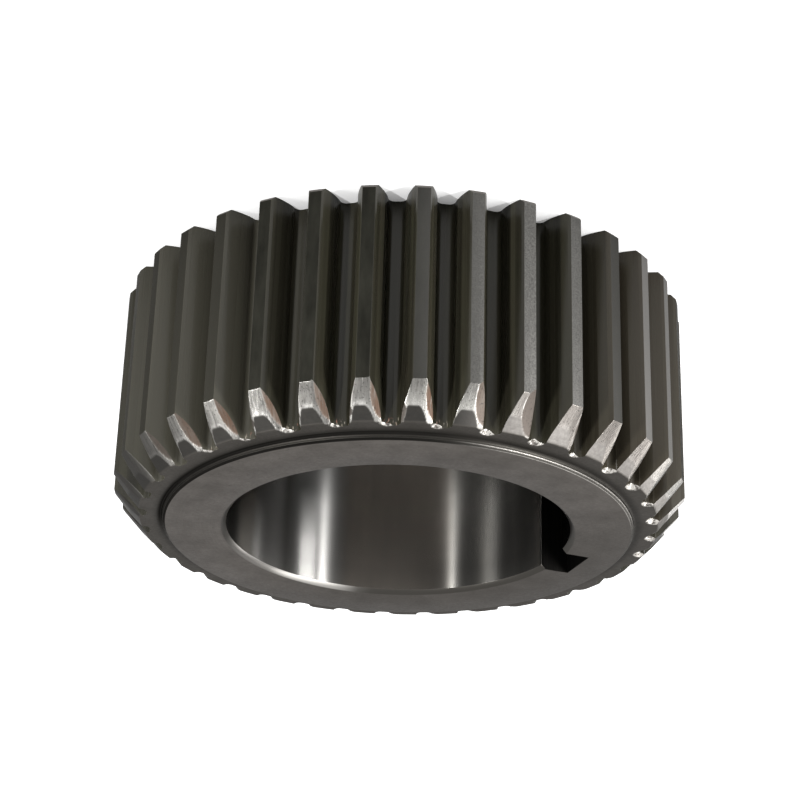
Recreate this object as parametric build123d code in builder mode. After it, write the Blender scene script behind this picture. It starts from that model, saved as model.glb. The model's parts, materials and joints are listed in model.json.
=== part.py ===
# Straight-cut spur gear with a keyed bore, turned and cut from one piece of steel.
#
# The gear stands on its plain face. +Z is the gear's axis, the origin is on that axis at the plain
# face, and the low boss is at the top. The keyway points along +X, behind a tooth space. The upper
# ends of the teeth are chamfered in the lathe, then ground by hand. All lengths are millimetres.

from build123d import *

import os
from math import acos, atan, cos, degrees, pi, radians, sin, tan

# ---------------------------------------------------------------- teeth
module_size = 5.0            # pitch diameter divided by the number of teeth
tooth_count = 35
pressure_angle = 20.0        # degrees
profile_shift = -0.2         # in modules
addendum = 1.0               # in modules
dedendum = 1.25              # in modules
root_fillet = 1.9            # radius between each flank and the floor of the tooth space
face_width = 74.0            # from the plain face to the ring around the boss

# ---------------------------------------------------------------- bore, keyway and boss
bore_radius = 55.0
bore_chamfer = 1.5           # at both mouths of the bore
keyway_width = 16.0
keyway_depth = 9.0           # from the wall of the bore to the floor of the keyway
boss_radius = 75.0
boss_height = 2.0            # above the ring around it
boss_chamfer = 0.7           # at the rim of the boss
boss_foot = 0.9              # 45 degree slope at the foot of the boss

# ---------------------------------------------------------------- ends of the teeth
plain_chamfer = 1.5          # turned on the tips at the plain face
tip_chamfer = 9.0            # turned on the tips at the boss side
bevel_start = 5.3            # radial width of the bevel ground on each tip
bevel_drop = 0.8             # how much deeper than the turned chamfer it leaves the tip
wheel_radius = 21.5          # grinding wheel that breaks the two edges of each tooth end
wheel_width = 13.0
edge_tilt = 45.0             # degrees that a broken edge falls away towards its flank
wide_edge_inset = 3.5        # from the tip to the deepest point of the wide broken edge
wide_edge_offset = 0.9       # from the middle of the tooth to that point
wide_edge_skew = 4.7         # degrees that the wheel is turned to follow the flank
narrow_edge_inset = 4.5      # the same three values for the narrow broken edge
narrow_edge_offset = 2.2
narrow_edge_skew = 9.8
file_radius = 2.9            # rotary file that breaks the corner of each tooth space
file_inset = 2.05            # from the floor of the tooth space to the middle of the file
file_offset = 0.8            # from the middle of the tooth space to the middle of the file

# ---------------------------------------------------------------- worked out from the values above
pitch_radius = module_size * tooth_count / 2
tip_radius = pitch_radius + module_size * (addendum + profile_shift)
root_radius = pitch_radius - module_size * (dedendum - profile_shift)
base_radius = pitch_radius * cos(radians(pressure_angle))
half_pitch = pi / tooth_count
overall_height = face_width + boss_height
bevel_angle = degrees(atan((bevel_start + bevel_drop) / bevel_start))


def involute(angle):
    """Involute function of a pressure angle in radians."""
    return tan(angle) - angle


def half_tooth_angle(radius):
    """Half the angle that a tooth takes up at a radius, in radians."""
    at_pitch = (pi / 2 + 2 * profile_shift * tan(radians(pressure_angle))) / tooth_count
    return at_pitch + involute(radians(pressure_angle)) - involute(acos(base_radius / radius))


def space_flank_point(radius):
    """Point at a radius on the flank of the tooth space that is centred on +X."""
    angle = half_pitch - half_tooth_angle(radius)
    return (radius * cos(angle), radius * sin(angle))


def ground_plane(inset, offset, tilt, skew):
    """Plane on the ground bevel of the tooth centred on +X, leaning towards one of its flanks."""
    drop = tip_chamfer + bevel_drop - inset * tan(radians(bevel_angle))
    bevel = Plane(
        origin=(tip_radius - inset, offset, face_width - drop),
        x_dir=(cos(radians(bevel_angle)), 0, -sin(radians(bevel_angle))),
        z_dir=(sin(radians(bevel_angle)), 0, cos(radians(bevel_angle))),
    )
    return bevel.rotated((tilt, 0, skew))


# ---------------------------------------------------------------- tooth space, seen along the axis
# Each involute flank is drawn as two arcs, which leave the true curve by under 0.01 mm.
cutter_radius = tip_radius + module_size
arc_join_radius = base_radius + 0.3 * (tip_radius - base_radius)
foot_angle = half_pitch - half_tooth_angle(base_radius)
foot = (root_radius * cos(foot_angle), root_radius * sin(foot_angle))
mouth_angle = half_pitch - half_tooth_angle(tip_radius)
mouth = (cutter_radius * cos(mouth_angle), cutter_radius * sin(mouth_angle))

with BuildSketch() as tooth_space:
    with BuildLine() as space_outline:
        Line(foot, space_flank_point(base_radius))
        for start, end in ((base_radius, arc_join_radius), (arc_join_radius, tip_radius)):
            ThreePointArc(
                space_flank_point(start),
                space_flank_point((start + end) / 2),
                space_flank_point(end),
            )
        Line(space_flank_point(tip_radius), mouth)
        mirror(about=Plane.XZ)
        RadiusArc(foot, (foot[0], -foot[1]), root_radius)
        Line(mouth, (mouth[0], -mouth[1]))
    make_face()
    fillet(tooth_space.vertices().group_by(SortBy.DISTANCE)[0], radius=root_fillet)

# ---------------------------------------------------------------- the gear
with BuildPart() as spur_gear:
    # Turned blank: the toothed rim and the boss on it
    Cylinder(tip_radius, face_width, align=(Align.CENTER, Align.CENTER, Align.MIN))
    chamfer(spur_gear.edges().sort_by(Axis.Z)[0], length=plain_chamfer)
    chamfer(spur_gear.edges().sort_by(Axis.Z)[-1], length=tip_chamfer)
    with BuildSketch(Plane.XY.offset(face_width)) as boss_outline:
        Circle(boss_radius)
    extrude(amount=boss_height)
    chamfer(spur_gear.edges().sort_by(Axis.Z)[-1], length=boss_chamfer)
    ring_edges = spur_gear.edges().filter_by_position(Axis.Z, face_width, face_width)
    chamfer(ring_edges.sort_by(SortBy.RADIUS)[0], length=boss_foot)

    # Bore, with both mouths chamfered
    Hole(bore_radius)
    mouths = spur_gear.edges().filter_by(
        lambda edge: edge.geom_type == GeomType.CIRCLE and abs(edge.radius - bore_radius) < 1e-6
    )
    chamfer(mouths, length=bore_chamfer)

    # Keyway through the whole length of the bore
    with BuildSketch() as keyway_outline:
        Rectangle(bore_radius + keyway_depth, keyway_width, align=(Align.MIN, Align.CENTER))
    extrude(amount=overall_height, mode=Mode.SUBTRACT)

    # Tooth spaces
    with BuildSketch() as tooth_spaces:
        with PolarLocations(0, tooth_count):
            add(tooth_space.sketch)
    extrude(amount=face_width, mode=Mode.SUBTRACT)

    # Hand-ground ends of the teeth at the boss side
    with PolarLocations(0, tooth_count, start_angle=degrees(half_pitch)):
        with Locations(ground_plane(0, 0, 0, 0)):
            Box(
                4 * bevel_start,
                wheel_width,
                tip_chamfer,
                align=(Align.CENTER, Align.CENTER, Align.MIN),
                mode=Mode.SUBTRACT,
            )
        wide_plane = ground_plane(wide_edge_inset, -wide_edge_offset, edge_tilt, wide_edge_skew)
        with Locations(wide_plane.offset(wheel_radius)):
            Cylinder(wheel_radius, wheel_width, rotation=(90, 0, 0), mode=Mode.SUBTRACT)
        narrow_plane = ground_plane(
            narrow_edge_inset, narrow_edge_offset, -edge_tilt, -narrow_edge_skew
        )
        with Locations(narrow_plane.offset(wheel_radius)):
            Cylinder(wheel_radius, wheel_width, rotation=(90, 0, 0), mode=Mode.SUBTRACT)

    # Corner of each tooth space at the boss side, broken with a pointed rotary file
    file_tip = face_width - file_radius
    with PolarLocations(0, tooth_count):
        with Locations((root_radius + file_inset, file_offset, file_tip)):
            Cone(
                0,
                2 * file_radius,
                2 * file_radius,
                align=(Align.CENTER, Align.CENTER, Align.MIN),
                mode=Mode.SUBTRACT,
            )

spur_gear.part.label = "spur_gear"

os.makedirs("parts", exist_ok=True)
export_step(spur_gear.part, "parts/spur_gear.step")
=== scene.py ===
"""Straight-cut spur gear of dark machined steel, with hand-ground tooth ends, on a pale floor."""

import json
import random
from math import acos, asin, atan2, cos, hypot, pi, radians, sin, sqrt, tan
from typing import NamedTuple

import bpy
import numpy as np
from mathutils import Matrix, Quaternion, Vector


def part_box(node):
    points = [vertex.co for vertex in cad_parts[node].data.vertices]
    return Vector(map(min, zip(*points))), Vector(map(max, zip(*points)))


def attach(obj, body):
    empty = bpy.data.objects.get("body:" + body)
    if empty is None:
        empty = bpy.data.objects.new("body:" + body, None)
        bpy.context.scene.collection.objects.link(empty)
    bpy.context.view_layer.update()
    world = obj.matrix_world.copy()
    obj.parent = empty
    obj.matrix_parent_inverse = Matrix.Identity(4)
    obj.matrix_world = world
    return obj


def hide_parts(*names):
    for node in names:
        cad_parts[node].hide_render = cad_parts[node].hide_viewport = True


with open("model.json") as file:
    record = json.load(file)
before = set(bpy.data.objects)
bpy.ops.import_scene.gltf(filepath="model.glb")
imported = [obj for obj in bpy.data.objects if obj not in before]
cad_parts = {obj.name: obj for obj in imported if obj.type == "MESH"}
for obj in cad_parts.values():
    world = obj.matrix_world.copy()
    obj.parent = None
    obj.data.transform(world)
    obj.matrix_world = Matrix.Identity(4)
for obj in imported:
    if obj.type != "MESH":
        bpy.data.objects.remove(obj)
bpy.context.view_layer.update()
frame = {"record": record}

# ---------------------------------------------------------------- sizes, in metres
MM = 0.001
TAU = 2 * pi
mounts = {mount["name"]: mount for mount in frame["record"]["mounts"]}
low_corner, high_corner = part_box("spur_gear")

TEETH = 35
PITCH_RADIUS = mounts["teeth"]["dims"]["pcd_mm"] / 2 * MM
BORE_RADIUS = mounts["bore"]["dims"]["r_mm"] * MM
TIP_RADIUS = -low_corner[0]                 # one tooth points straight along -X
GEAR_HEIGHT = high_corner[2]
BOSS_HEIGHT = 2.0 * MM
RING_HEIGHT = GEAR_HEIGHT - BOSS_HEIGHT     # the flat ring between the boss and the teeth
HALF_PITCH = pi / TEETH

PRESSURE_ANGLE = radians(20)
BASE_RADIUS = PITCH_RADIUS * cos(PRESSURE_ANGLE)
ROOT_RADIUS = 80.25 * MM
ROOT_FILLET = 1.9 * MM
TOOTH_THICKNESS = 7.126 * MM                # along the pitch circle

BOSS_RADIUS = 75.0 * MM
BOSS_CHAMFER = 0.7 * MM
BOSS_FOOT = 1.1 * MM
BORE_CHAMFER = 1.5 * MM
KEYWAY_HALF_WIDTH = 8.0 * MM
KEYWAY_FLOOR = 64.0 * MM

PLAIN_CHAMFER = 1.5 * MM                    # on the tips at the plain face
TIP_CHAMFER = 9.0 * MM                      # on the tips at the boss side, 45 degrees
BEVEL_WIDTH = 5.3 * MM                      # ground bevel on each tip: radial width and extra depth
BEVEL_DROP = 0.8 * MM
BEVEL_SPREAD = 0.25 * MM                    # how much that width differs from tooth to tooth
BEVEL_CROWN = 0.07                          # fall of the bevel in mm, 1 mm towards the wide facet
BEVEL_ROLL = 0.27                           # the same towards the narrow facet, past ROLL_START
ROLL_START = 2.6 * MM                       # from the middle of the tooth
FACET_SLOPE = 0.95                          # of the facets ground along the edges of the bevel
NARROW_START = 2 * MM                       # from the tip down to the start of the narrow facet
NARROW_LENGTH = 4.5 * MM                    # over which the narrow facet comes to its full width
RIDGE_SOFTNESS = 0.07 * MM
EDGE_BREAK = 0.12 * MM                      # on every sharp edge
EDGE_ANGLE = radians(40)                    # from which an edge counts as sharp
SMOOTH_ANGLE = radians(38)                  # up to which faces are shaded as one surface

# How far the marks for the finish run, across the edges and ridges that grinding left
BARE_EDGE = 0.05 * MM
FACET_EDGE = 0.02 * MM
FILED_EDGE = 0.1 * MM
RIDGE_WIDTH = 0.12 * MM
LIP_DEPTH = 0.05                            # in mm, as the next two are
LIP_WIDTH = 0.055
LIP_GLOW = 0.22

# Seeds of the small differences between the teeth
GRINDING_SEED = 500
BEVEL_SEED = 700
FILING_SEED = 900
BARELY_GROUND = range(17, 28)               # the teeth on which the dark film stayed

# Fineness of the mesh
TOOTH_COLUMNS = 30
TOOTH_ROWS = 44
FILLET_COLUMNS = 7
FLOOR_COLUMNS = 3
BAND_ROWS = 9
BAND_RADIUS = 78.3 * MM                     # where the toothed ring meets the hub
HUB_STEPS = 10 * TEETH
FOOT_STEPS = 5                              # round the corner at the foot of the boss
MERGE_DISTANCE = 0.002 * MM


# ---------------------------------------------------------------- helpers
def involute(angle):
    """The involute function of a pressure angle."""
    return tan(angle) - angle


BASE_HALF_ANGLE = TOOTH_THICKNESS / 2 / PITCH_RADIUS + involute(PRESSURE_ANGLE)


def half_tooth_angle(radius):
    """Half the angle that a tooth takes up at a radius."""
    if radius <= BASE_RADIUS:
        return BASE_HALF_ANGLE
    return BASE_HALF_ANGLE - involute(acos(BASE_RADIUS / radius))


def select_none():
    """Leaves edit mode and deselects every object."""
    if bpy.context.object and bpy.context.object.mode != "OBJECT":
        bpy.ops.object.mode_set(mode="OBJECT")
    bpy.ops.object.select_all(action="DESELECT")


def choose(obj):
    """Makes one object the selected and active one."""
    select_none()
    obj.select_set(True)
    bpy.context.view_layer.objects.active = obj


def select_in_edit_mode(obj, mode, test):
    """Enters edit mode with the vertices, edges or faces selected that pass a test."""
    choose(obj)
    bpy.ops.object.mode_set(mode="EDIT")
    bpy.ops.mesh.select_mode(type=mode)
    bpy.ops.mesh.select_all(action="DESELECT")
    bpy.ops.object.mode_set(mode="OBJECT")
    mesh = obj.data
    items = {"VERT": mesh.vertices, "EDGE": mesh.edges, "FACE": mesh.polygons}[mode]
    for item in items:
        item.select = test(item)
    bpy.ops.object.mode_set(mode="EDIT")


def edit_all(obj):
    """Enters edit mode with the whole of one object selected."""
    choose(obj)
    bpy.ops.object.mode_set(mode="EDIT")
    bpy.ops.mesh.select_all(action="SELECT")


def leave_edit_mode():
    bpy.ops.object.mode_set(mode="OBJECT")


def merge_doubles(obj):
    edit_all(obj)
    bpy.ops.mesh.remove_doubles(threshold=MERGE_DISTANCE)
    leave_edit_mode()


def join(pieces, name):
    """Makes several objects one, under a new name."""
    select_none()
    for piece in pieces:
        piece.select_set(True)
    bpy.context.view_layer.objects.active = pieces[0]
    bpy.ops.object.join()
    joined = bpy.context.object
    joined.name = joined.data.name = name
    return joined


# ---------------------------------------------------------------- one tooth and half the space each side
FILLET_RADIUS = ROOT_RADIUS + ROOT_FILLET                   # where the middle of the fillet lies
FILLET_ANGLE = BASE_HALF_ANGLE + asin(ROOT_FILLET / FILLET_RADIUS)
FOOT_RADIUS = sqrt(FILLET_RADIUS ** 2 - ROOT_FILLET ** 2)   # where the fillet meets the flank


def foot_outline():
    """(angle, radius) from the middle of one tooth space to the middle of the next."""
    side = []
    for step in range(FLOOR_COLUMNS):
        side.append((HALF_PITCH + (FILLET_ANGLE - HALF_PITCH) * step / FLOOR_COLUMNS, ROOT_RADIUS))
    sweep = pi / 2 - asin(ROOT_FILLET / FILLET_RADIUS)
    for step in range(FILLET_COLUMNS):
        turn = sweep * step / FILLET_COLUMNS
        x = FILLET_RADIUS - ROOT_FILLET * cos(turn)
        y = -ROOT_FILLET * sin(turn)
        side.append((FILLET_ANGLE + atan2(y, x), hypot(x, y)))
    foot = [
        (BASE_HALF_ANGLE * (1 - 2 * step / TOOTH_COLUMNS), FOOT_RADIUS)
        for step in range(TOOTH_COLUMNS + 1)
    ]
    return side + foot + [(-angle, radius) for angle, radius in reversed(side)]


def place_grid(columns, rows, place):
    """Adds a grid and puts each of its points where place(column, row) says."""
    select_none()
    bpy.ops.mesh.primitive_grid_add(x_subdivisions=columns, y_subdivisions=rows, size=2)
    grid = bpy.context.object
    for vertex in grid.data.vertices:
        column = round((vertex.co.x + 1) / 2 * columns)
        row = round((vertex.co.y + 1) / 2 * rows)
        angle, radius = place(column, row)
        vertex.co = (radius * cos(angle), radius * sin(angle), RING_HEIGHT)
    return grid


def make_sector():
    """One tooth and half the space each side, from the band that meets the hub out to the tip."""
    outline = foot_outline()

    def on_tooth(column, row):
        radius = FOOT_RADIUS + (TIP_RADIUS - FOOT_RADIUS) * row / TOOTH_ROWS
        return half_tooth_angle(radius) * (1 - 2 * column / TOOTH_COLUMNS), radius

    def on_band(column, row):
        angle, radius = outline[column]
        if row == 0:
            # Gathered where the hub's own points are, to be merged with them
            return round(angle * HUB_STEPS / TAU) * TAU / HUB_STEPS, BAND_RADIUS
        return angle, BAND_RADIUS + (radius - BAND_RADIUS) * row / BAND_ROWS

    tooth = place_grid(TOOTH_COLUMNS, TOOTH_ROWS, on_tooth)
    band = place_grid(len(outline) - 1, BAND_ROWS, on_band)
    sector = join([tooth, band], "sector")
    merge_doubles(sector)

    # Drawn down to the plain face, where each tip has its small chamfer
    edit_all(sector)
    bpy.ops.mesh.select_mode(type="FACE")
    bpy.ops.mesh.normals_make_consistent(inside=False)
    bpy.ops.mesh.extrude_region_move(TRANSFORM_OT_translate={"value": (0, 0, -RING_HEIGHT)})
    leave_edit_mode()
    vertices = sector.data.vertices
    for vertex in vertices:
        if vertex.co.z < RING_HEIGHT / 2:
            vertex.co.z = max(0, hypot(vertex.co.x, vertex.co.y) - (TIP_RADIUS - PLAIN_CHAMFER))

    # The plain side needs few faces, and where the sector meets its neighbours it needs none
    def is_plain(face):
        return all(vertices[index].co.z < RING_HEIGHT / 2 for index in face.vertices)

    def is_joint(face):
        points = [vertices[index].co for index in face.vertices]
        heights = [point.z for point in points]
        seam = all(abs(abs(atan2(point.y, point.x)) - HALF_PITCH) < 1e-5 for point in points)
        inner = all(hypot(point.x, point.y) < BAND_RADIUS + 0.01 * MM for point in points)
        return max(heights) - min(heights) > RING_HEIGHT / 2 and (seam or inner)

    select_in_edit_mode(sector, "FACE", is_plain)
    bpy.ops.mesh.dissolve_limited(angle_limit=radians(0.2))
    select_in_edit_mode(sector, "FACE", is_joint)
    bpy.ops.mesh.delete(type="FACE")
    edit_all(sector)
    bpy.ops.mesh.normals_make_consistent(inside=False)
    leave_edit_mode()
    return sector


# ---------------------------------------------------------------- grinding of the tooth ends
def soft_lowest(first, second, softness=RIDGE_SOFTNESS):
    """The lower of two surfaces, with the ridge between them rounded a little."""
    blend = np.clip(0.5 + 0.5 * (second - first) / softness, 0, 1)
    return second * (1 - blend) + first * blend - softness * blend * (1 - blend)


class Grinding(NamedTuple):
    """How the end of one tooth was ground. Distances are in millimetres."""

    tip: float            # from the tooth's middle to the ridge of the wide facet: at the tip,
    foot: float           # at the foot of the bevel,
    ring: float = 3.1     # and where the cone meets the ring
    narrow: float = 0.0   # width of the narrow facet on the other side
    heat: float = 0.0     # how brown the wide facet ran
    lip: float = 1.0      # how bright the edge between bevel and cone is
    crest: float = 0.2    # how bright the ridge is
    bare: float = 1.0     # how much of the dark film came off


def ground_by_hand(index):
    """The grinding of one tooth, counted round from the keyway."""
    known = {
        6: Grinding(2.6, 2.8, 3.5, 0.0, 0.25, 0.1),
        7: Grinding(2.3, 2.4, 3.3, 0.0, 0.3, 0.15, 0.4),
        8: Grinding(0.1, -0.1, 2.5, 0.0, 0.3, 0.1, 1.0),
        9: Grinding(0.9, 1.1, 3.0, 0.45, 0.4, 0.15, 1.0),
        10: Grinding(2.1, 2.0, 3.1, 1.3, 1.0, 0.8, 0.05),
        11: Grinding(2.1, 1.9, 3.1, 1.0, 0.95, 1.0, 0.05, 0.85),
        12: Grinding(1.9, 1.8, 3.1, 0.7, 0.8, 0.9, bare=0.85),
        13: Grinding(1.8, 2.0, 3.1, 1.0, 0.6, 0.9),
        14: Grinding(1.6, 1.8, 3.1, 0.7, 0.8, 0.5, 0.2, 0.85),
        15: Grinding(1.5, 1.6, 3.1, 0.6, 0.6, 0.9, 0.2, 0.62),
        16: Grinding(1.7, 2.0, 3.3, 0.0, 0.3, 0.9, 1.0, 0.28),
    }
    if index in known:
        return known[index]
    dice = random.Random(GRINDING_SEED + index)
    if index in BARELY_GROUND:
        return Grinding(
            dice.uniform(2.4, 2.8), dice.uniform(2.5, 2.9), 3.5, bare=dice.uniform(0.02, 0.08)
        )
    return Grinding(
        dice.uniform(2.5, 2.9), dice.uniform(2.6, 3.0), 3.6, heat=dice.uniform(0, 0.3), lip=0.1
    )


def filed_by_hand(gap):
    """One tooth space's mark of the rotary file: its radius, inset, offset and lift."""
    dice = random.Random(FILING_SEED + gap)
    radius = dice.uniform(2.2, 2.7)
    offset = dice.uniform(0.9, 1.5)
    inset = 1.6
    lift = 1.5                      # high enough to leave most spaces hardly touched
    if gap <= 3:
        inset = 1.5
        offset -= 2.6
        lift = -0.1
    elif gap <= 9:                  # each of these sits a little further round than the last
        inset = 1.0
        offset -= (9 - gap) * 0.6
        lift = 0.15
    elif gap <= 14:
        lift = 0.2
    lift += dice.uniform(-0.15, 0.15)
    return radius * MM, inset * MM, offset * MM, lift * MM


def curve_through(radius, first, second, third):
    """A smooth curve over the radius through three (radius, value) points."""
    total = 0
    points = (first, second, third)
    for own, value in points:
        share = value
        for other, _ in points:
            if other != own:
                share = share * (radius - other) / (own - other)
        total = total + share
    return total


def filed_surface(index, x, y):
    """Height that the rotary file leaves at each point, from its marks in the two tooth spaces."""
    filed = np.full_like(x, GEAR_HEIGHT)
    for side in (-1, 1):
        gap = side * HALF_PITCH
        file_radius, inset, offset, lift = filed_by_hand((index if side > 0 else index - 1) % TEETH)
        file_x = (ROOT_RADIUS + inset) * cos(gap) - offset * sin(gap)
        file_y = (ROOT_RADIUS + inset) * sin(gap) + offset * cos(gap)
        cone = RING_HEIGHT - file_radius + lift + np.hypot(x - file_x, y - file_y)
        filed = np.minimum(filed, cone)
    return filed


def above(surface, other, edge, offset=0.0):
    """1 where one surface is above another by a small edge, and 0 where it is below."""
    return np.clip((surface - other) / edge + offset, 0, 1)


def grind(sector, index):
    """Lowers the end of one tooth to its turned and ground surfaces, and marks which is which."""
    mesh = sector.data
    points = np.empty(len(mesh.vertices) * 3)
    mesh.vertices.foreach_get("co", points)
    points = points.reshape(-1, 3)
    x, y, z = points.T
    radius = np.hypot(x, y)
    across = -y                                          # towards the wide facet
    half_width = np.array([half_tooth_angle(value) * value for value in radius])
    inside = np.clip(across, -half_width, half_width)    # nothing is ground past the tooth's own flanks
    top = z > RING_HEIGHT / 2
    made = ground_by_hand(index)

    # Turned first: the ring's face, and a cone over the tips
    turned = soft_lowest(np.full_like(x, RING_HEIGHT), RING_HEIGHT + TIP_RADIUS - TIP_CHAMFER - radius)

    # The bevel is a little steeper than the cone and falls off to its sides, which leaves a half-moon
    bevel_width = BEVEL_WIDTH + random.Random(BEVEL_SEED + index).uniform(-BEVEL_SPREAD, BEVEL_SPREAD)
    bevel_radius = TIP_RADIUS - bevel_width
    bevel_height = RING_HEIGHT - TIP_CHAMFER + bevel_width
    plane = bevel_height - (radius - bevel_radius) * (BEVEL_WIDTH + BEVEL_DROP) / BEVEL_WIDTH
    to_wide = np.maximum(inside, 0) / MM
    to_narrow = np.maximum(-ROLL_START - inside, 0) / MM
    roll = BEVEL_ROLL * min(made.narrow, 1)
    bevel = plane - (BEVEL_CROWN * to_wide ** 2 + roll * to_narrow ** 2) * MM

    # One wide facet and one narrow facet along the flanks
    ridge = curve_through(
        radius,
        (TIP_RADIUS, made.tip * MM),
        (TIP_RADIUS - BEVEL_WIDTH, made.foot * MM),
        (TIP_RADIUS - TIP_CHAMFER, made.ring * MM),
    )
    wide = plane - FACET_SLOPE * (inside - ridge)
    fade = np.clip((TIP_RADIUS - NARROW_START - radius) / NARROW_LENGTH, 0, 1)
    beyond_flank = 0.3 if made.narrow == 0 else 0        # keeps a facet of no width off the tooth
    narrow_width = (made.narrow * fade * fade * (3 - 2 * fade) - beyond_flank) * MM
    narrow = plane - FACET_SLOPE * (-inside - half_width + narrow_width) + (1 - fade) * NARROW_START

    # A rotary file has broken the edge at the foot of each tooth space
    filed = filed_surface(index, x, y)

    ground = soft_lowest(bevel, wide)
    ground = soft_lowest(ground, narrow)
    ground = soft_lowest(ground, filed)
    height = soft_lowest(turned, ground, RIDGE_SOFTNESS / 2)
    points[:, 2] = np.where(top, height, z)
    mesh.vertices.foreach_set("co", points.ravel())

    # Marks for the finish: bare ground metal, facets, ridges and lips (wear and painted highlight), heat
    # tint, filed metal
    cut = above(turned, ground, BARE_EDGE, 0.5)
    on_wide = above(np.minimum(bevel, narrow), wide, FACET_EDGE, 1) * cut
    on_narrow = above(np.minimum(bevel, wide), narrow, FACET_EDGE, 1) * cut
    on_filed = above(np.minimum(np.minimum(bevel, narrow), wide), filed, FILED_EDGE) * cut
    bare = cut * made.bare * (1 - 0.6 * on_narrow)
    ridge_line = np.exp(-((bevel - wide) / RIDGE_WIDTH) ** 2) * bare * made.crest
    beside_lip = (turned - ground) / MM - LIP_DEPTH
    lip_line = np.exp(-(beside_lip / LIP_WIDTH) ** 2) + 0.4 * np.exp(-(beside_lip / LIP_GLOW) ** 2)
    lip_line = np.minimum(lip_line, 1) * bare * made.lip * (1 - on_filed)
    marks = {
        "bare": bare,
        "facet": np.maximum(on_wide, on_narrow),
        "ridge": np.maximum(ridge_line, lip_line),
        "scorched": np.clip(on_wide * made.heat, 0, 1),
        "filed": on_filed,
    }
    for name, values in marks.items():
        layer = mesh.attributes.new(name, "FLOAT", "POINT")
        layer.data.foreach_set("value", np.where(top, values, 0))
    mesh.update()


def make_toothed_ring():
    """All the teeth, each a copy of one sector with its own mesh and its own grinding."""
    master = make_sector()
    sectors = []
    for index in range(TEETH):
        sector = master.copy()
        sector.data = master.data.copy()
        bpy.context.collection.objects.link(sector)
        grind(sector, index)
        sector.data.transform(Matrix.Rotation((2 * index + 1) * HALF_PITCH, 4, "Z"))
        sectors.append(sector)
    bpy.data.objects.remove(master)
    ring = join(sectors, "toothed_ring")
    merge_doubles(ring)
    return ring


# ---------------------------------------------------------------- hub: bore, boss and the faces
def hub_profile():
    """(radius, height) of the hub's section, from the ring over the boss and bore to the plain face."""
    points = [(BAND_RADIUS, RING_HEIGHT)]
    for step in range(FOOT_STEPS + 1):
        turn = pi / 2 * step / FOOT_STEPS
        points.append((
            BOSS_RADIUS + BOSS_FOOT * (1 - sin(turn)),
            RING_HEIGHT + BOSS_FOOT * (1 - cos(turn)),
        ))
    points += [
        (BOSS_RADIUS, GEAR_HEIGHT - BOSS_CHAMFER),
        (BOSS_RADIUS - BOSS_CHAMFER, GEAR_HEIGHT),
        (BORE_RADIUS + BORE_CHAMFER, GEAR_HEIGHT),
        (BORE_RADIUS, GEAR_HEIGHT - BORE_CHAMFER),
        (BORE_RADIUS, BORE_CHAMFER),
        (BORE_RADIUS + BORE_CHAMFER, 0),
        (BAND_RADIUS, 0),
    ]
    return points


def make_hub():
    """Spins the hub's section, closed by a wall that is taken away after the keyway is cut."""
    select_none()
    mesh = bpy.data.meshes.new("hub")
    profile = hub_profile()
    count = len(profile)
    mesh.from_pydata(
        [(radius, 0, height) for radius, height in profile],
        [(step, (step + 1) % count) for step in range(count)],
        [],
    )
    hub = bpy.data.objects.new("hub", mesh)
    bpy.context.collection.objects.link(hub)
    edit_all(hub)
    bpy.ops.mesh.spin(steps=HUB_STEPS, angle=TAU, center=(0, 0, 0), axis=(0, 0, 1))
    bpy.ops.mesh.select_all(action="SELECT")
    bpy.ops.mesh.remove_doubles(threshold=MERGE_DISTANCE)
    bpy.ops.mesh.normals_make_consistent(inside=False)
    leave_edit_mode()

    # The keyway is cut by a bar that runs past both faces
    spare = 5 * MM
    length = KEYWAY_FLOOR - BORE_RADIUS + spare
    select_none()
    bpy.ops.mesh.primitive_cube_add(
        size=1,
        location=(KEYWAY_FLOOR - length / 2, 0, GEAR_HEIGHT / 2),
        scale=(length, 2 * KEYWAY_HALF_WIDTH, GEAR_HEIGHT + 2 * spare),
    )
    bar = bpy.context.object
    choose(hub)
    cut = hub.modifiers.new("keyway", "BOOLEAN")
    cut.operation = "DIFFERENCE"
    cut.solver = "EXACT"
    cut.object = bar
    bpy.ops.object.modifier_apply(modifier=cut.name)
    bpy.data.objects.remove(bar)

    # The wall where the teeth will join on
    outer = BAND_RADIUS - 0.1 * MM
    select_in_edit_mode(hub, "VERT", lambda vertex: hypot(vertex.co.x, vertex.co.y) > outer)
    bpy.ops.mesh.delete(type="ONLY_FACE")
    leave_edit_mode()
    return hub


def make_gear():
    """The teeth and the hub as one closed shell."""
    gear = join([make_toothed_ring(), make_hub()], "gear_body")
    merge_doubles(gear)
    edit_all(gear)
    bpy.ops.mesh.delete_loose()
    bpy.ops.mesh.select_all(action="SELECT")
    bpy.ops.mesh.normals_make_consistent(inside=False)
    leave_edit_mode()
    return gear


def break_edges(gear):
    """Breaks every sharp edge a little, and lets only what is still sharp look sharp."""
    face_pairs = {}
    for face in gear.data.polygons:
        for key in face.edge_keys:
            face_pairs.setdefault(key, []).append(face.normal.copy())
    sharp_cosine = cos(EDGE_ANGLE)

    def is_sharp(edge):
        normals = face_pairs[tuple(sorted(edge.vertices))]
        return len(normals) == 2 and normals[0].dot(normals[1]) < sharp_cosine

    select_in_edit_mode(gear, "EDGE", is_sharp)
    bpy.ops.mesh.bevel(offset=EDGE_BREAK, segments=1, affect="EDGES", clamp_overlap=True)
    leave_edit_mode()
    choose(gear)
    bpy.ops.object.shade_smooth_by_angle(angle=SMOOTH_ANGLE)


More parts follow.
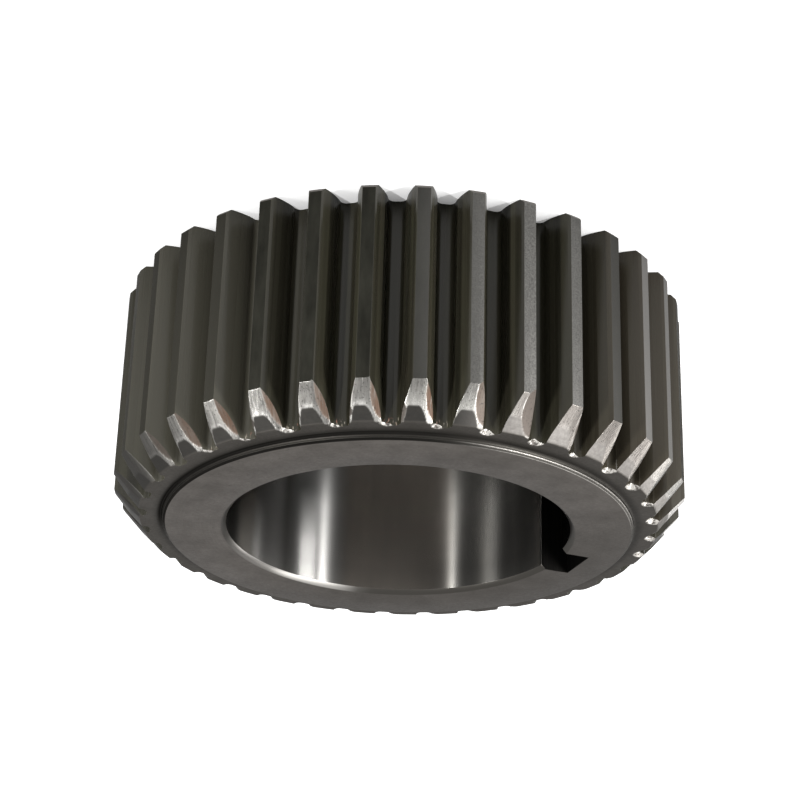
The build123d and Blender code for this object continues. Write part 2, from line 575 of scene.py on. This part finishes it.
# ---------------------------------------------------------------- finishes
class Finish:
    """A steel finish whose nodes measure in millimetres round, out from and along the gear's axle."""

    def __init__(self, name, roughness, metallic=1.0, edge=(1, 1, 1), anisotropic=0.0):
        self.material = bpy.data.materials.new(name)
        self.material.use_nodes = True
        self.tree = self.material.node_tree
        self.shader = self.tree.nodes["Principled BSDF"]
        self.shader.inputs["Metallic"].default_value = metallic
        self.shader.inputs["Roughness"].default_value = roughness
        self.shader.inputs["Specular Tint"].default_value = (*edge, 1)
        self.shader.inputs["Anisotropic"].default_value = anisotropic
        self.shader.inputs["Anisotropic Rotation"].default_value = 0.25
        place = self.add("ShaderNodeTexCoord", {}).outputs["Object"]
        # Half a pitch round, so that the ends of the angle meet in a tooth space
        turned = self.add("ShaderNodeVectorRotate", {"Vector": place, "Angle": HALF_PITCH})
        self.place = self.add(
            "ShaderNodeVectorMath", {0: turned.outputs[0], "Scale": 1000.0}, operation="SCALE"
        ).outputs[0]
        parts = self.add("ShaderNodeSeparateXYZ", {0: self.place}).outputs
        self.height = parts["Z"]
        self.angle = self.math("ARCTAN2", parts["Y"], parts["X"])
        self.round = self.math("MULTIPLY", self.angle, PITCH_RADIUS / MM)
        squares = [self.math("POWER", parts[axis], 2.0) for axis in "XY"]
        self.radius = self.math("SQRT", self.math("ADD", *squares))

    def add(self, kind, inputs, **settings):
        """Adds a node, with its settings, and its inputs by name or number."""
        node = self.tree.nodes.new(kind)
        for name, value in settings.items():
            setattr(node, name, value)
        for key, value in inputs.items():
            if isinstance(value, bpy.types.NodeSocket):
                self.tree.links.new(value, node.inputs[key])
            else:
                node.inputs[key].default_value = value
        return node

    def math(self, operation, *values):
        """The result of a sum on numbers and sockets."""
        return self.add("ShaderNodeMath", dict(enumerate(values)), operation=operation).outputs[0]

    def times(self, product, *factors):
        for factor in factors:
            product = self.math("MULTIPLY", product, factor)
        return product

    def stretch(self, round_scale, radius_scale, height_scale, slant=0.0):
        """A place for a pattern, with its own scale in each direction of the gear."""
        along = self.math("MULTIPLY", self.round, round_scale)
        if slant:
            along = self.math("MULTIPLY_ADD", self.radius, slant, along)
        out = self.math("MULTIPLY", self.radius, radius_scale)
        up = self.math("MULTIPLY", self.height, height_scale)
        return self.add("ShaderNodeCombineXYZ", {0: along, 1: out, 2: up}).outputs[0]

    def noise(self, place, scale=1.0, detail=2.0, roughness=0.5, low=0.3, high=0.7):
        """Noise between 0 and 1, drawn out between a low and a high value."""
        made = self.add(
            "ShaderNodeTexNoise",
            {"Vector": place, "Scale": scale, "Detail": detail, "Roughness": roughness},
        )
        return self.spread(made.outputs["Fac"], low, high)

    def spread(self, value, low, high, to_low=0.0, to_high=1.0, smooth=False):
        """Turns a value between low and high into one between two others, and stops at both."""
        return self.add(
            "ShaderNodeMapRange",
            {"Value": value, "From Min": low, "From Max": high, "To Min": to_low, "To Max": to_high},
            interpolation_type="SMOOTHSTEP" if smooth else "LINEAR",
        ).outputs[0]

    def mix(self, share, first, second):
        """A colour between two, each of them a socket or three numbers."""
        first, second = (
            (*colour, 1) if isinstance(colour, tuple) else colour for colour in (first, second)
        )
        return self.add("ShaderNodeMix", {0: share, 6: first, 7: second}, data_type="RGBA").outputs[2]

    def between(self, share, first, second):
        """A number between two, each of them a socket or a number."""
        return self.add("ShaderNodeMix", {0: share, 2: first, 3: second}).outputs[0]

    def mark(self, name):
        """How much of a mark made while grinding is on the surface."""
        return self.add("ShaderNodeAttribute", {}, attribute_name=name).outputs["Fac"]

    def towards(self, azimuth, low, high):
        """1 on the side of the gear at an azimuth in degrees, and 0 elsewhere.

        It changes over where the cosine of the angle from that side runs from low to high.
        """
        turn = self.math("SUBTRACT", self.angle, radians(azimuth) + HALF_PITCH)
        return self.spread(self.math("COSINE", turn), low, high, smooth=True)

    def bump(self, height, depth):
        """Relief of a depth in millimetres."""
        made = self.add("ShaderNodeBump", {"Height": height, "Distance": depth * MM, "Strength": 1.0})
        self.plug("Normal", made.outputs[0])

    def plug(self, name, value):
        """Links a socket to one of the shader's own."""
        self.tree.links.new(value, self.shader.inputs[name])


def turned_colour(steel, mottle, rings):
    """Colour of the turned faces, and how much of each point is the bore's chamfer or black painted
    shade.

    The boss is paler than the ring round it, and painted shade lies in the corner between them.
    """
    shaded_side, painted_shade_side = -35, 150
    painted_highlight_cone_side, painted_highlight_boss_side = 60, 62
    painted_sheen_side, rim_reflection_side = -115, -101             # of the bore's chamfer
    boss_radius = BOSS_RADIUS / MM
    boss_top = (BOSS_RADIUS - BOSS_CHAMFER) / MM
    chamfer_radius = (BORE_RADIUS + BORE_CHAMFER) / MM
    ring_height = RING_HEIGHT / MM
    upper = steel.spread(steel.height, 5.0, 6.0)        # 0 on the plain face

    clouds = steel.noise(steel.place, 0.11, 4.0, 0.6)
    boss = steel.mix(clouds, (0.104, 0.095, 0.087), (0.162, 0.149, 0.137))
    boss = steel.mix(steel.times(mottle, 0.38), boss, (0.085, 0.078, 0.071))
    specks = steel.noise(steel.place, 0.55, 3.0, 0.6, 0.66, 0.74)
    boss = steel.mix(steel.times(specks, 0.55), boss, (0.050, 0.046, 0.042))
    # Painted shade: the boss is darker on one side
    shaded_boss = steel.mix(0.45, boss, (0.060, 0.056, 0.051))
    boss = steel.mix(steel.towards(shaded_side, 0.0, 0.8), boss, shaded_boss)

    ring = steel.mix(clouds, (0.070, 0.064, 0.057), (0.094, 0.087, 0.079))
    # The cone over the tips is dark, with a painted highlight on one side
    cone = steel.spread(steel.height, ring_height - 0.1, ring_height - 0.6)
    cone_tone = steel.mix(
        steel.towards(painted_highlight_cone_side, 0.74, 0.90), (0.034, 0.033, 0.031), (0.26, 0.245, 0.23)
    )
    ring = steel.mix(steel.times(cone, 0.9), ring, cone_tone)
    ring = steel.mix(steel.times(mottle, 0.4), ring, (0.045, 0.042, 0.037))
    on_ring = steel.times(steel.spread(steel.radius, boss_radius - 0.10, boss_radius - 0.03), upper)
    turned = steel.mix(on_ring, boss, ring)

    # The chamfer of the bore is darker, except on one side, where a painted sheen and a brighter painted
    # reflection lie on it
    rim = steel.times(steel.spread(steel.radius, chamfer_radius + 0.2, chamfer_radius - 0.2), upper)
    rim_tone = steel.mix(
        steel.towards(painted_sheen_side, 0.78, 0.96), (0.062, 0.058, 0.052), (0.19, 0.182, 0.170)
    )
    rim_tone = steel.mix(steel.towards(rim_reflection_side, 0.945, 0.998), rim_tone, (0.42, 0.405, 0.38))
    turned = steel.mix(rim, turned, rim_tone)

    # Painted shade darkens the ring towards the boss's foot and darkens the boss's wall and chamfer; on
    # one side it goes black
    shade = steel.spread(steel.radius, boss_radius + 4.0, boss_radius + 1.2, smooth=True)
    turned = steel.mix(steel.times(shade, on_ring, 0.55), turned, (0.012, 0.011, 0.010))
    wall = steel.times(steel.spread(steel.radius, boss_radius + 0.5, boss_radius + 0.2), on_ring)
    turned = steel.mix(wall, turned, (0.030, 0.028, 0.025))
    edge = steel.times(
        steel.spread(steel.radius, boss_top - 0.08, boss_top + 0.04),
        steel.spread(steel.radius, boss_radius, boss_radius - 0.1),
    )
    turned = steel.mix(steel.times(edge, upper), turned, (0.055, 0.052, 0.047))
    foot = steel.times(
        steel.spread(steel.radius, boss_radius + 2.4, boss_radius + 1.3),
        steel.spread(steel.radius, boss_radius + 0.08, boss_radius + 0.2),
    )
    # Black painted shade on one side, in the corner at the boss's foot and on its chamfer
    painted_shade_half = steel.towards(painted_shade_side, 0.42, 0.72)
    painted_shade = steel.times(steel.math("ADD", foot, edge), painted_shade_half, upper)
    turned = steel.mix(painted_shade, turned, (0.004, 0.0037, 0.0033))

    # Painted highlights make the two corners of the boss's chamfer bright on one side
    boss_edge_highlight = steel.times(steel.towards(painted_highlight_boss_side, 0.78, 0.94), upper)
    for corner in (boss_top, boss_radius):
        beside = steel.math("ABSOLUTE", steel.math("SUBTRACT", steel.radius, corner))
        line = steel.times(
            steel.spread(beside, 0.16, 0.05),
            boss_edge_highlight,
            steel.spread(steel.height, ring_height + 1.0, ring_height + 1.2),
            steel.spread(mottle, 0.0, 1.0, 1.0, 0.5),
        )
        turned = steel.mix(line, turned, (0.40, 0.38, 0.355))
    turned = steel.mix(steel.times(rings, 0.22), turned, (0.05, 0.047, 0.042))
    return turned, rim, painted_shade


def ground_colour(steel, streaks, facet):
    """Colour of bare ground metal: streaks, lips and ridges bright with wear and painted highlight,
    pits, and brown where it ran hot.
    """
    pale_side, reddish_side, bright_side = 103, 70, 12
    tip_radius = TIP_RADIUS / MM
    ridge, scorched, filed = (steel.mark(name) for name in ("ridge", "scorched", "filed"))

    patches = steel.noise(steel.stretch(0.5, 0.3, 0.3), 1.0, 3.0, 0.6)
    ground = steel.mix(streaks, (0.074, 0.071, 0.065), (0.29, 0.281, 0.263))
    ground = steel.mix(steel.times(patches, 0.35), ground, (0.31, 0.300, 0.280))
    pale = steel.times(
        steel.towards(pale_side, 0.95, 0.99),
        steel.spread(steel.radius, tip_radius - 1.0, tip_radius - 5.0),
        0.7,
    )
    ground = steel.mix(pale, ground, (0.46, 0.45, 0.42))
    ground = steel.mix(steel.times(facet, 0.75), ground, (0.142, 0.114, 0.095))

    burnt = steel.noise(steel.stretch(1.6, 0.2, 0.1), 1.0, 3.0, 0.5, 0.27, 0.48)
    burnt = steel.times(
        scorched,
        steel.spread(steel.radius, tip_radius - 1.0, tip_radius - 3.5, 0.35, 1.0),
        steel.spread(streaks, 0.0, 1.0, 1.0, 0.45),
        burnt,
    )
    ground = steel.mix(burnt, ground, (0.105, 0.055, 0.031))
    reddish = steel.times(steel.towards(reddish_side, 0.88, 0.97), 0.7)
    ground = steel.mix(reddish, ground, (0.155, 0.138, 0.125))

    # Ridges and lips: edge wear with a painted highlight, broken up by glints
    glint = steel.noise(steel.stretch(0.7, 0.5, 0.3), 1.0, 2.0, 0.5, 0.35, 0.65)
    ridge = steel.times(ridge, steel.spread(glint, 0.0, 1.0, 0.12, 0.70))
    ground = steel.mix(ridge, ground, (0.90, 0.88, 0.84))
    bright = steel.times(steel.towards(bright_side, 0.90, 0.975), 0.8)
    ground = steel.mix(bright, ground, (0.62, 0.60, 0.57))
    pits = steel.noise(steel.place, 1.7, 2.0, 0.5, 0.62, 0.68)
    ground = steel.mix(steel.times(pits, 0.75), ground, (0.05, 0.046, 0.042))

    swirls = steel.noise(steel.place, 1.0, 3.0, 0.6, 0.40, 0.52)
    swirl_tone = steel.mix(swirls, (0.12, 0.110, 0.100), (0.62, 0.595, 0.555))
    return steel.mix(filed, ground, swirl_tone)


def make_face_finish():
    """Turned faces and chamfers, and the bare ground metal on the tooth ends."""
    steel = Finish("turned_steel", 0.42, edge=(0.6, 0.6, 0.6))
    steel.shader.inputs["Specular IOR Level"].default_value = 0.0    # the black painted shade, which is no metal
    mottle = steel.noise(steel.place, 0.9, 4.0, 0.65)
    rings = steel.noise(steel.stretch(0.012, 3.2, 3.2), 1.0, 3.0, 0.6)
    streaks = steel.noise(steel.stretch(2.6, 0.22, 0.08, 0.35), 1.0, 5.0, 0.7, 0.34, 0.66)
    bare, facet = steel.mark("bare"), steel.mark("facet")

    turned, rim, painted_shade = turned_colour(steel, mottle, rings)
    filmed = steel.mix(steel.times(facet, 0.7), turned, (0.016, 0.015, 0.013))
    steel.plug("Base Color", steel.mix(bare, filmed, ground_colour(steel, streaks, facet)))
    steel.plug("Metallic", steel.spread(painted_shade, 0.0, 1.0, 1.0, 0.0))

    turned_roughness = steel.between(rim, steel.spread(mottle, 0.0, 1.0, 0.38, 0.5), 0.3)
    turned_roughness = steel.between(facet, turned_roughness, 0.7)
    ground_roughness = steel.between(facet, steel.spread(streaks, 0.0, 1.0, 0.31, 0.24), 0.75)
    steel.plug("Roughness", steel.between(bare, turned_roughness, ground_roughness))
    lathe = steel.times(steel.math("ADD", rings, mottle), 0.22)
    steel.bump(steel.between(bare, lathe, streaks), 0.025)
    return steel.material


def make_flank_finish():
    """Hobbed flanks and tooth spaces: a dark film of oil and oxide, with soft bands along the teeth."""
    brown_side, dry_side, burr_side = 46, 160, 128
    root_radius = ROOT_RADIUS / MM
    ring_height = RING_HEIGHT / MM
    steel = Finish("hobbed_steel", 0.3, metallic=0.0)
    steel.shader.inputs["Specular IOR Level"].default_value = 0.16
    bands = steel.noise(steel.stretch(0.17, 0.35, 0.004), 1.0, 1.0, 0.5)
    lines = steel.noise(steel.stretch(5.0, 5.0, 0.03), 1.0, 3.0, 0.6)
    stains = steel.noise(steel.place, 0.07, 4.0, 0.6)
    dark = steel.mix(bands, (0.009, 0.0088, 0.0056), (0.029, 0.0275, 0.0180))
    dark = steel.mix(steel.times(stains, 0.4), dark, (0.019, 0.016, 0.0115))
    dark = steel.mix(steel.times(lines, 0.07), dark, (0.040, 0.037, 0.027))
    brown = steel.times(steel.towards(brown_side, 0.85, 0.97), 0.5)
    dark = steel.mix(brown, dark, (0.036, 0.029, 0.021))
    dry = steel.times(steel.towards(dry_side, 0.90, 0.985), 0.6)
    dark = steel.mix(dry, dark, (0.070, 0.066, 0.052))

    # Burrs from the rotary file, on the last two millimetres of each tooth space
    burrs = steel.times(
        steel.noise(steel.stretch(1.7, 0.0, 0.5), 1.0, 2.0, 0.5, 0.57, 0.65),
        steel.spread(steel.height, ring_height - 2.6, ring_height - 1.8),
        steel.spread(steel.radius, root_radius + 0.75, root_radius + 0.35),
        steel.towards(burr_side, 0.84, 0.92),
    )
    rusty = steel.noise(steel.place, 0.35, 1.0, 0.5, 0.45, 0.6)
    burr_tone = steel.mix(rusty, (0.24, 0.215, 0.175), (0.20, 0.085, 0.06))
    steel.plug("Base Color", steel.mix(burrs, dark, burr_tone))
    steel.plug("Roughness", steel.spread(bands, 0.0, 1.0, 0.22, 0.32))
    steel.bump(lines, 0.002)
    return steel.material


def make_tip_finish():
    """Tip lands: matt and grainy, with a painted highlight that makes them paler on one side of the
    gear.
    """
    tip_highlight_side, scuffed_side, dry_side = 86, 50, 168
    steel = Finish("tip_steel", 0.5, edge=(0.5, 0.5, 0.5))
    grain = steel.noise(steel.place, 2.4, 3.0, 0.7, 0.32, 0.68)
    clouds = steel.noise(steel.stretch(0.3, 0.3, 0.08), 1.0, 3.0, 0.6)
    tone = steel.mix(clouds, (0.012, 0.0118, 0.0096), (0.021, 0.0206, 0.0166))
    # Painted highlight on one side of the gear
    tip_highlight = steel.times(steel.towards(tip_highlight_side, 0.88, 0.955), 0.7)
    tone = steel.mix(tip_highlight, tone, (0.060, 0.0585, 0.055))
    tone = steel.mix(steel.towards(scuffed_side, 0.975, 0.99), tone, (0.130, 0.126, 0.120))
    tone = steel.mix(steel.towards(dry_side, 0.88, 0.97), tone, (0.032, 0.0305, 0.025))
    # The brightest, grainy part of that painted highlight
    tip_highlight_tone = steel.mix(grain, (0.047, 0.0458, 0.043), (0.130, 0.127, 0.120))
    steel.plug("Base Color", steel.mix(steel.towards(tip_highlight_side, 0.955, 1.0), tone, tip_highlight_tone))
    steel.plug("Roughness", steel.spread(grain, 0.0, 1.0, 0.45, 0.58))
    steel.bump(grain, 0.012)
    return steel.material


def make_bore_finish():
    """The bore: finely turned, so that lights are drawn out along its axle."""
    brown_side, darker_mouth_side, darkest_bore_side = -72, -32, 25
    bright_side, streak_reflection_side = -122, -99
    gear_height = GEAR_HEIGHT / MM
    steel = Finish("bore_steel", 0.27, edge=(0.5, 0.5, 0.5), anisotropic=1.0)
    grooves = steel.noise(steel.stretch(0.02, 0.0, 4.0), 1.0, 3.0, 0.6)
    clouds = steel.noise(steel.stretch(0.10, 0.0, 0.02), 1.0, 3.0, 0.6)
    tone = steel.mix(clouds, (0.125, 0.121, 0.112), (0.170, 0.165, 0.154))
    tone = steel.mix(steel.times(grooves, 0.1), tone, (0.07, 0.067, 0.062))
    brown = steel.times(steel.towards(brown_side, 0.90, 0.98), steel.spread(clouds, 0.0, 1.0, 0.6, 1.0))
    tone = steel.mix(brown, tone, (0.250, 0.220, 0.190))
    # Painted reflections: two narrow bright streaks along the bore
    tone = steel.mix(steel.towards(bright_side, 0.985, 0.999), tone, (0.36, 0.35, 0.335))
    tone = steel.mix(steel.towards(streak_reflection_side, 0.975, 0.998), tone, (0.215, 0.211, 0.203))

    # The bore darkens towards the mouth at the boss, more on one side, and is nearly black towards the
    # keyway
    mouth = steel.spread(steel.height, gear_height - 30, gear_height - 8)
    film = steel.spread(steel.towards(darker_mouth_side, 0.80, 0.95), 0.0, 1.0, 0.42, 0.72)
    tone = steel.mix(steel.times(mouth, film), tone, (0.030, 0.029, 0.027))
    near_black = steel.times(steel.towards(darkest_bore_side, 0.78, 0.91), 0.93)
    steel.plug("Base Color", steel.mix(near_black, tone, (0.003, 0.003, 0.003)))
    steel.plug("Roughness", steel.spread(grooves, 0.0, 1.0, 0.24, 0.265))
    return steel.material


def make_keyway_finish():
    """The keyway: broached, with fine lines along the axle, and very dark."""
    steel = Finish("broached_steel", 0.4, edge=(0.5, 0.5, 0.5))
    lines = steel.noise(steel.stretch(4.0, 4.0, 0.03), 1.0, 3.0, 0.6)
    steel.plug("Base Color", steel.mix(lines, (0.010, 0.010, 0.0095), (0.030, 0.0285, 0.026)))
    steel.bump(lines, 0.006)
    return steel.material


FACE, FLANK, TIP, BORE, KEYWAY = range(5)
FINISH_MAKERS = {
    FACE: make_face_finish,
    FLANK: make_flank_finish,
    TIP: make_tip_finish,
    BORE: make_bore_finish,
    KEYWAY: make_keyway_finish,
}


def finish_of(face):
    """Which of the gear's finishes a face has, by where it is and which way it looks."""
    x, y, _ = face.center
    radius = hypot(x, y)
    if abs(face.normal.z) > 0.3:
        return FACE
    if radius > TIP_RADIUS - 0.05 * MM:
        return TIP
    if radius > ROOT_RADIUS - 0.05 * MM:
        return FLANK
    if radius > KEYWAY_FLOOR + 2 * MM:
        return FACE
    in_keyway = x > 0 and abs(y) < KEYWAY_HALF_WIDTH + 0.01 * MM
    return KEYWAY if in_keyway else BORE


# ---------------------------------------------------------------- the gear
gear = make_gear()
gear.data.materials.clear()
for number in sorted(FINISH_MAKERS):
    gear.data.materials.append(FINISH_MAKERS[number]())
for face in gear.data.polygons:
    face.material_index = finish_of(face)
break_edges(gear)

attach(gear, "root")
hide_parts("spur_gear")

# ---------------------------------------------------------------- camera
CAMERA_AZIMUTH = radians(111.13)
CAMERA_ELEVATION = radians(25.08)
CAMERA_ROLL = radians(181.61)                # the gear is seen upside down
CAMERA_DISTANCE = 0.6996
CAMERA_LENS = 95.58                          # in mm, on a sensor 36 mm wide
AIM = Vector((-0.47 * MM, -0.18 * MM, 28.4 * MM))

camera_data = bpy.data.cameras.new("camera")
camera_data.lens = CAMERA_LENS
camera_data.sensor_width = 36
camera_data.clip_start = 0.01
camera = bpy.data.objects.new("camera", camera_data)
bpy.context.collection.objects.link(camera)
to_camera = Vector((
    cos(CAMERA_ELEVATION) * cos(CAMERA_AZIMUTH),
    cos(CAMERA_ELEVATION) * sin(CAMERA_AZIMUTH),
    sin(CAMERA_ELEVATION),
))
camera.location = AIM + CAMERA_DISTANCE * to_camera
camera.rotation_mode = "QUATERNION"
camera.rotation_quaternion = to_camera.to_track_quat("Z", "Y") @ Quaternion((0, 0, 1), CAMERA_ROLL)
bpy.context.scene.camera = camera


# ---------------------------------------------------------------- floor, world and lamps
FLOOR_SIZE = 12.0
FLOOR_GLOW = 0.62
GLOW_MARGIN = 5 * MM                         # over which the glow fades, inside and outside the teeth
WORLD_LIGHT = 0.4


def seen_directly(tree):
    """1 for what the camera, a gloss or clear glass sees, and 0 for light on other things."""
    rays = tree.nodes.new("ShaderNodeLightPath").outputs
    total = rays["Is Camera Ray"]
    for name in ("Is Glossy Ray", "Is Transmission Ray"):
        larger = tree.nodes.new("ShaderNodeMath")
        larger.operation = "MAXIMUM"
        tree.links.new(total, larger.inputs[0])
        tree.links.new(rays[name], larger.inputs[1])
        total = larger.outputs[0]
    return total


def spread_to(tree, share, off, on, socket):
    """Gives a socket one value where share is 0 and another where it is 1."""
    node = tree.nodes.new("ShaderNodeMapRange")
    tree.links.new(share, node.inputs["Value"])
    node.inputs["To Min"].default_value = off
    node.inputs["To Max"].default_value = on
    tree.links.new(node.outputs[0], socket)


def make_floor():
    """A floor that looks white round the gear, keeps its shadow and has no glow under it."""
    paper = bpy.data.materials.new("floor_paper")
    paper.use_nodes = True
    tree = paper.node_tree
    shader = tree.nodes["Principled BSDF"]
    shader.inputs["Base Color"].default_value = (0.85, 0.85, 0.85, 1)
    shader.inputs["Roughness"].default_value = 0.9
    shader.inputs["Specular IOR Level"].default_value = 0.0
    shader.inputs["Emission Color"].default_value = (1, 1, 1, 1)

    place = tree.nodes.new("ShaderNodeTexCoord").outputs["Object"]
    distance = tree.nodes.new("ShaderNodeVectorMath")
    distance.operation = "LENGTH"
    tree.links.new(place, distance.inputs[0])
    clear = tree.nodes.new("ShaderNodeMapRange")
    clear.inputs["From Min"].default_value = ROOT_RADIUS - GLOW_MARGIN
    clear.inputs["From Max"].default_value = TIP_RADIUS + GLOW_MARGIN
    tree.links.new(distance.outputs["Value"], clear.inputs["Value"])
    glow = tree.nodes.new("ShaderNodeMath")
    glow.operation = "MULTIPLY"
    tree.links.new(seen_directly(tree), glow.inputs[0])
    tree.links.new(clear.outputs[0], glow.inputs[1])
    spread_to(tree, glow.outputs[0], 0.0, FLOOR_GLOW, shader.inputs["Emission Strength"])

    select_none()
    bpy.ops.mesh.primitive_plane_add(size=FLOOR_SIZE)
    floor = bpy.context.object
    floor.name = "floor"
    floor.data.materials.append(paper)
    return floor


def make_world():
    """A backdrop that is white to look at and lights the gear more gently."""
    world = bpy.data.worlds.new("studio")
    world.use_nodes = True
    tree = world.node_tree
    backdrop = tree.nodes["Background"]
    backdrop.inputs["Color"].default_value = (1, 1, 1, 1)
    spread_to(tree, seen_directly(tree), WORLD_LIGHT, 1.0, backdrop.inputs["Strength"])
    return world


floor = make_floor()
bpy.context.scene.world = make_world()


def add_lamp(name, azimuth, elevation, distance, size, power):
    """A soft box that faces the gear. Angles are in degrees, the azimuth's from the camera's."""
    data = bpy.data.lights.new(name, "AREA")
    data.shape = "RECTANGLE"
    data.size, data.size_y = size
    data.energy = power
    lamp = bpy.data.objects.new(name, data)
    bpy.context.collection.objects.link(lamp)
    azimuth, elevation = CAMERA_AZIMUTH + radians(azimuth), radians(elevation)
    direction = Vector((
        cos(elevation) * cos(azimuth), cos(elevation) * sin(azimuth), sin(elevation)
    ))
    lamp.location = Vector((0, 0, GEAR_HEIGHT / 2)) + direction * distance
    lamp.rotation_mode = "QUATERNION"
    lamp.rotation_quaternion = direction.to_track_quat("Z", "Y")


add_lamp("right_strip", -54, 24, 1.3, (0.06, 0.32), 12.5)
add_lamp("right_sheet", -65, 15, 1.3, (0.26, 0.25), 9.5)
add_lamp("left_strip", 40, 26, 1.3, (0.012, 0.30), 12)
add_lamp("left_sheet", 70, 26, 1.3, (0.22, 0.30), 6.5)
add_lamp("window", -86, 46, 1.4, (1.1, 0.5), 4.5)
add_lamp("rear_window", -122, 14, 1.4, (0.7, 0.35), 4.5)

bpy.context.scene.view_settings.view_transform = "Standard"
